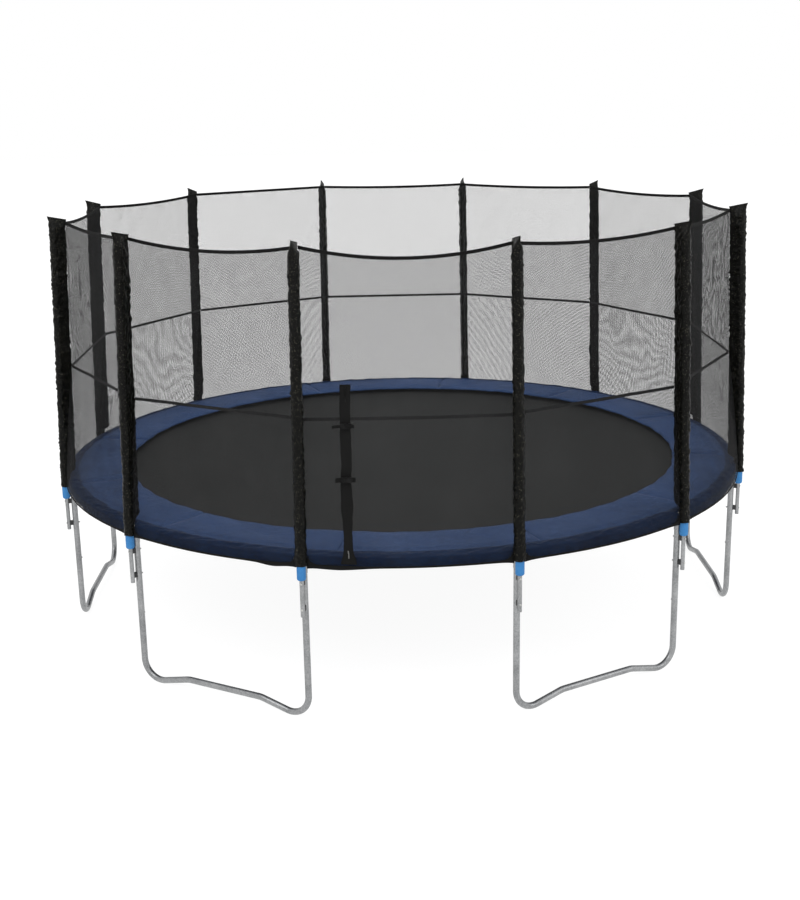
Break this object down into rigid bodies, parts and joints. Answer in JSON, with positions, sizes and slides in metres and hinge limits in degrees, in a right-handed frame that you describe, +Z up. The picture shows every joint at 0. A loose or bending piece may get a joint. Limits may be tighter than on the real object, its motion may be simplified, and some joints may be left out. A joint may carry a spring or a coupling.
{
  "type": "trampoline",
  "caption": "Round garden trampoline on bent steel legs, with a sprung black mat, blue safety pad and a net enclosure on sleeved poles.",
  "frame": {"origin": "on the ground under the middle of the mat", "axes": "+Z up, -Y towards the entrance panel, +X to the right when facing the entrance"},
  "size_m": [4.5988, 4.5988, 2.7082],
  "materials": {
    "galvanised_steel": "satin",
    "zinc_fasteners": "satin",
    "spring_steel": "satin",
    "black_plastic": "matte",
    "buckle_plastic": "satin",
    "foam": "matte",
    "sleeve_fabric": "satin",
    "net": "matte",
    "webbing": "matte",
    "mat_fabric": "matte",
    "pad_cover": "satin"
  },
  "bodies": {
    "frame": {"rail_01": "galvanised_steel", "rail_02": "galvanised_steel", "rail_03": "galvanised_steel", "rail_04": "galvanised_steel", "rail_05": "galvanised_steel", "rail_06": "galvanised_steel", "rail_07": "galvanised_steel", "rail_08": "galvanised_steel", "rail_09": "galvanised_steel", "rail_10": "galvanised_steel", "rail_11": "galvanised_steel", "rail_12": "galvanised_steel", "leg_upright_01": "galvanised_steel", "leg_upright_02": "galvanised_steel", "leg_upright_03": "galvanised_steel", "leg_upright_04": "galvanised_steel", "leg_upright_05": "galvanised_steel", "leg_upright_06": "galvanised_steel", "leg_upright_07": "galvanised_steel", "leg_upright_08": "galvanised_steel", "leg_upright_09": "galvanised_steel", "leg_upright_10": "galvanised_steel", "leg_upright_11": "galvanised_steel", "leg_upright_12": "galvanised_steel", "leg_base_1": "galvanised_steel", "leg_base_2": "galvanised_steel", "leg_base_3": "galvanised_steel", "leg_base_4": "galvanised_steel", "leg_base_5": "galvanised_steel", "leg_base_6": "galvanised_steel", "lower_poles": "galvanised_steel", "upper_poles": "galvanised_steel", "pole_caps": "black_plastic", "pole_spacers": "black_plastic", "pole_bolts": "zinc_fasteners", "pole_nuts": "zinc_fasteners", "leg_screws": "zinc_fasteners", "foam_tubes": "foam", "pole_sleeves": "sleeve_fabric", "net_panels": "net", "net_top_band": "webbing", "net_belt": "webbing", "net_bottom_hem": "webbing", "zip_tape": "webbing", "lower_buckle_socket": "buckle_plastic", "upper_buckle_socket": "buckle_plastic", "springs": "spring_steel", "safety_pad": "pad_cover"},
    "mat_rim": {"mat_hem": "webbing", "spring_rings": "spring_steel"},
    "mat_centre": {"jump_mat": "mat_fabric"},
    "zip_slider_body": {"zip_slider": "zinc_fasteners"},
    "lower_buckle": {"lower_buckle_plug": "buckle_plastic"},
    "upper_buckle": {"upper_buckle_plug": "buckle_plastic"}
  },
  "joints": [
    {"name": "rim_dip", "type": "slide", "parent": "frame", "child": "mat_rim", "axis": [0, 0, 1], "range_m": [-0.1, 0], "deforming": ["springs"]},
    {"name": "centre_dip", "type": "slide", "parent": "mat_rim", "child": "mat_centre", "axis": [0, 0, 1], "range_m": [-0.35, 0], "stiffness_N_per_m": 5000, "springref_m": 0.05},
    {"name": "zip_slide", "type": "slide", "parent": "frame", "child": "zip_slider_body", "axis": [0.0017, 0.151, 0.9885], "range_m": [0, 0.86]},
    {"name": "lower_buckle_pull", "type": "slide", "parent": "frame", "child": "lower_buckle", "axis": [-1, 0, 0], "range_m": [0, 0.06]},
    {"name": "upper_buckle_pull", "type": "slide", "parent": "frame", "child": "upper_buckle", "axis": [-1, 0, 0], "range_m": [0, 0.06]}
  ],
  "couplings": [
    {"joint": "rim_dip", "follows": "centre_dip", "ratio": 0.28}
  ]
}
